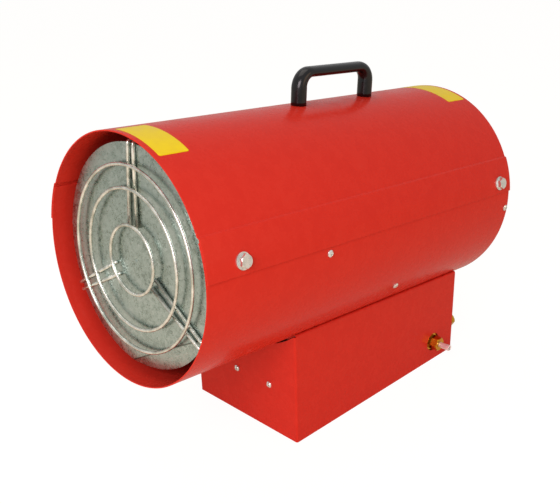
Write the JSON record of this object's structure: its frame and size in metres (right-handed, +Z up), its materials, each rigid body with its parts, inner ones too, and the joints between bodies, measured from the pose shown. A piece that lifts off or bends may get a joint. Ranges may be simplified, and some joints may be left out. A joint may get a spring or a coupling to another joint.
{
  "type": "gas forced air heater",
  "caption": "Portable gas forced air heater: round sheet casing tipped up on a box base, with wire outlet guard, burner, fan and carrying handle",
  "frame": {"origin": "on the floor, under the middle of the heater's whole box", "axes": "+Z up; hot air leaves towards -Y, rising by 4.5 degrees; the gas inlet is on the +X side"},
  "size_m": [0.284, 0.5426, 0.4194],
  "materials": {
    "red_paint": "glossy red powder paint on sheet steel",
    "galvanised": "zinc coated sheet with a fine spangle",
    "heat_steel": "heat resisting sheet steel, slightly straw tinted",
    "zinc_hardware": "bright zinc plated screws, bolts and nuts",
    "bright_wire": "bright welded steel wire",
    "black_plastic": "glossy black moulded plastic",
    "dark_plastic": "matt dark grey plastic",
    "brass": "turned brass",
    "bright_steel": "turned bright steel",
    "copper": "drawn copper pipe",
    "aluminium": "pressed aluminium",
    "motor_grey": "grey motor enamel",
    "black_wire": "black dipped steel wire",
    "ceramic": "glazed white ceramic",
    "lead_black": "black silicone lead",
    "green_plastic": "green translucent rocker",
    "terminal_white": "off white terminal block"
  },
  "bodies": {
    "casing": {"upper_shell": "red_paint", "lower_shell": "red_paint", "casing_bolts": "zinc_hardware", "casing_nuts": "zinc_hardware", "shell_screws": "zinc_hardware", "handle": "black_plastic", "handle_screws": "zinc_hardware", "flame_disc": "heat_steel", "disc_stays": "galvanised", "guard_rings": "bright_wire", "guard_spokes": "bright_wire", "flame_tube": "heat_steel", "flame_tube_brackets": "galvanised", "base_wrap": "red_paint", "base_plate": "galvanised", "control_panel": "red_paint", "panel_screws": "zinc_hardware", "side_channel": "galvanised", "saddle_screws": "zinc_hardware", "terminal_bracket": "galvanised", "terminal_block": "terminal_white", "bracket_screws": "zinc_hardware", "burner_cup": "galvanised", "burner_bracket": "galvanised", "gas_nozzle": "brass", "gas_pipe": "copper", "gas_valve": "brass", "valve_nut": "brass", "inlet_nut": "brass", "inlet_spigot": "bright_steel", "thermocouple": "copper", "spark_electrode": "ceramic", "ignition_lead": "lead_black", "igniter_body": "dark_plastic", "igniter_nut": "zinc_hardware", "switch_housing": "dark_plastic", "cable_gland": "dark_plastic", "gland_nut": "dark_plastic", "motor": "motor_grey", "motor_bracket": "galvanised", "motor_screws": "zinc_hardware", "rear_grille": "black_wire", "overheat_cutout": "dark_plastic"},
    "rotor": {"fan": "aluminium", "motor_shaft": "bright_steel"},
    "plunger": {"valve_plunger": "brass"},
    "igniter_push": {"igniter_button": "black_plastic"},
    "rocker": {"switch_rocker": "green_plastic"}
  },
  "joints": [
    {"name": "fan_spin", "type": "hinge", "parent": "casing", "child": "rotor", "pos_m": [0, 0.13807, 0.23115], "axis": [0, 0.9969, -0.0785], "continuous": true},
    {"name": "gas_push", "type": "slide", "parent": "casing", "child": "plunger", "axis": [0, -1, 0], "range_m": [0, 0.0025], "stiffness_N_per_m": 600},
    {"name": "igniter_press", "type": "slide", "parent": "casing", "child": "igniter_push", "axis": [0, -1, 0], "range_m": [0, 0.0045], "stiffness_N_per_m": 800},
    {"name": "switch_rock", "type": "hinge", "parent": "casing", "child": "rocker", "pos_m": [-0.014, 0.21483, 0.04], "axis": [1, 0, 0], "range_deg": [0, 20]}
  ]
}
